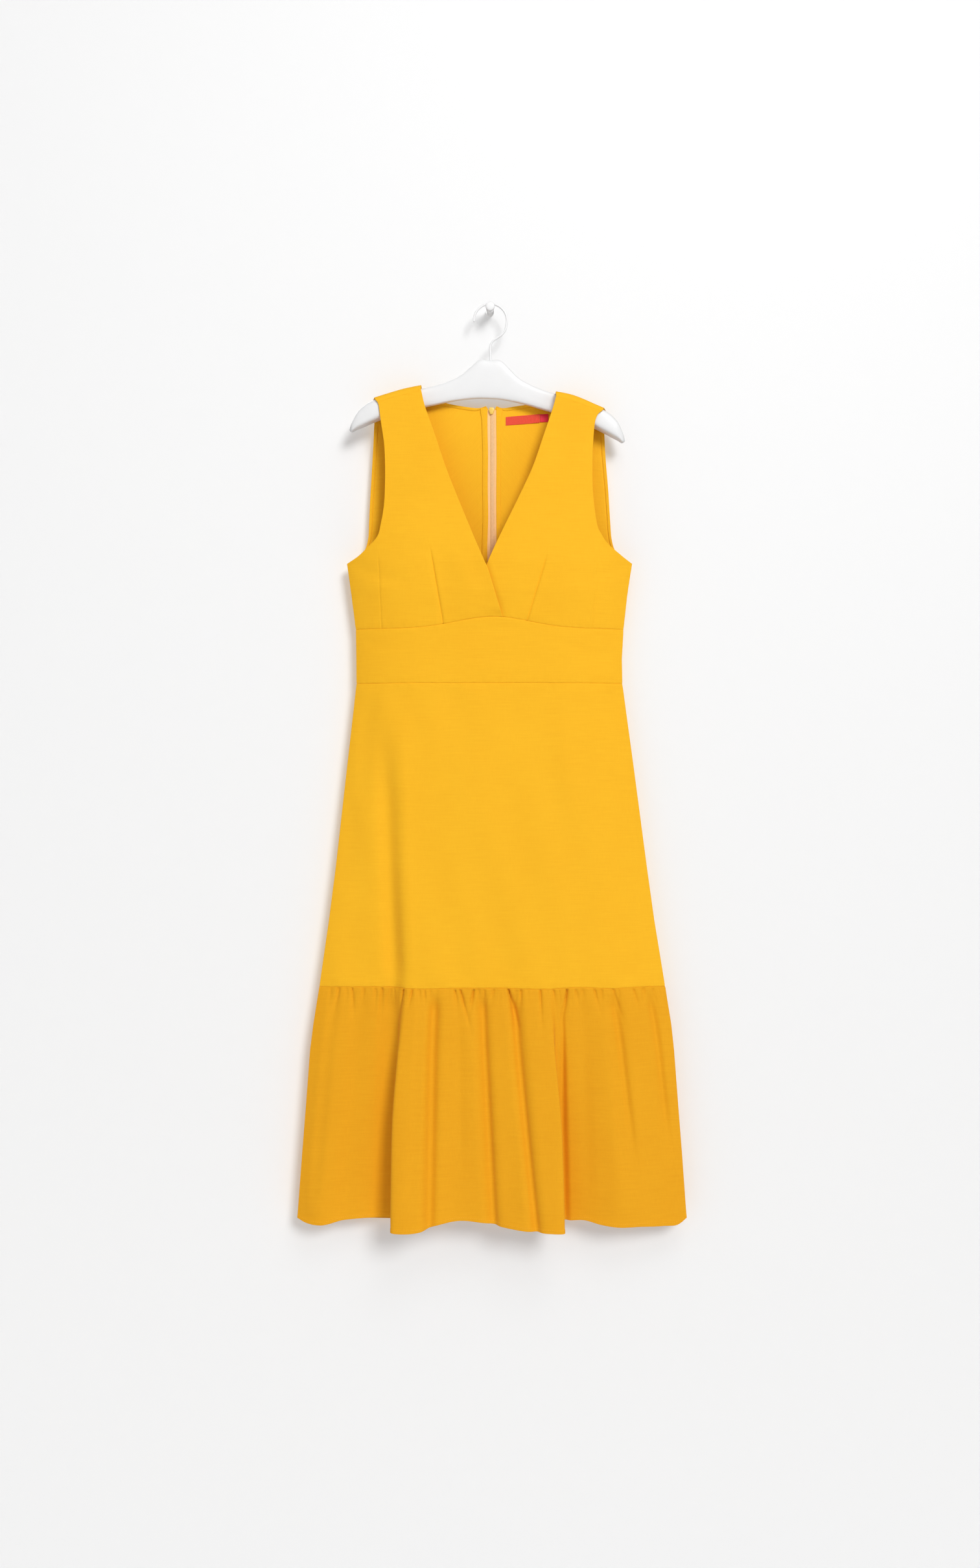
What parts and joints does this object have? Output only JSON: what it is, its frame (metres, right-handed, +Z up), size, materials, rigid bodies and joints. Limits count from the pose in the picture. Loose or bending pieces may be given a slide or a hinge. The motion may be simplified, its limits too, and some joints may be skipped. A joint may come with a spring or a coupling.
{
  "type": "linen dress on a hanger",
  "caption": "Sleeveless linen dress with a wrapped V neck, midriff band, A-line skirt and gathered hem frill, hung flat on a contoured hanger from a wall peg.",
  "frame": {"origin": "centre of the peg's flat back face, where it meets the wall", "axes": "+Z up, +Y into the wall, the front of the dress faces -Y"},
  "size_m": [0.6027, 0.0876, 1.4294],
  "materials": {
    "linen": "plain-woven linen mix, mustard yellow, matt with a faint sheen",
    "zip_tape": "peach woven zip tape",
    "zip_metal": "yellow enamel",
    "label_orange": "ribbed woven tape, bare",
    "label_red": "woven tape, bare",
    "hanger_white": "satin white",
    "hook_white": "white enamel",
    "peg_white": "white enamel"
  },
  "bodies": {
    "dress": {"wall_peg": "peg_white", "hanger_hook": "hook_white", "hanger_body": "hanger_white", "bodice_front_right": "linen", "bodice_front_left": "linen", "bodice_back_right": "linen", "bodice_back_left": "linen", "midriff_front": "linen", "midriff_back_right": "linen", "midriff_back_left": "linen", "skirt_front": "linen", "skirt_back_right": "linen", "skirt_back_left": "linen", "frill_front": "linen", "frill_back": "linen", "zip_tape_right": "zip_tape", "zip_tape_left": "zip_tape", "zip_slider": "zip_metal", "neck_label": "label_orange", "size_tab": "label_red"},
    "pull": {"zip_pull": "zip_metal"}
  },
  "joints": [
    {"name": "pull_swing", "type": "hinge", "parent": "dress", "child": "pull", "pos_m": [0.0024, -0.0106, -0.158], "axis": [1, 0, 0], "range_deg": [0, 150]}
  ]
}
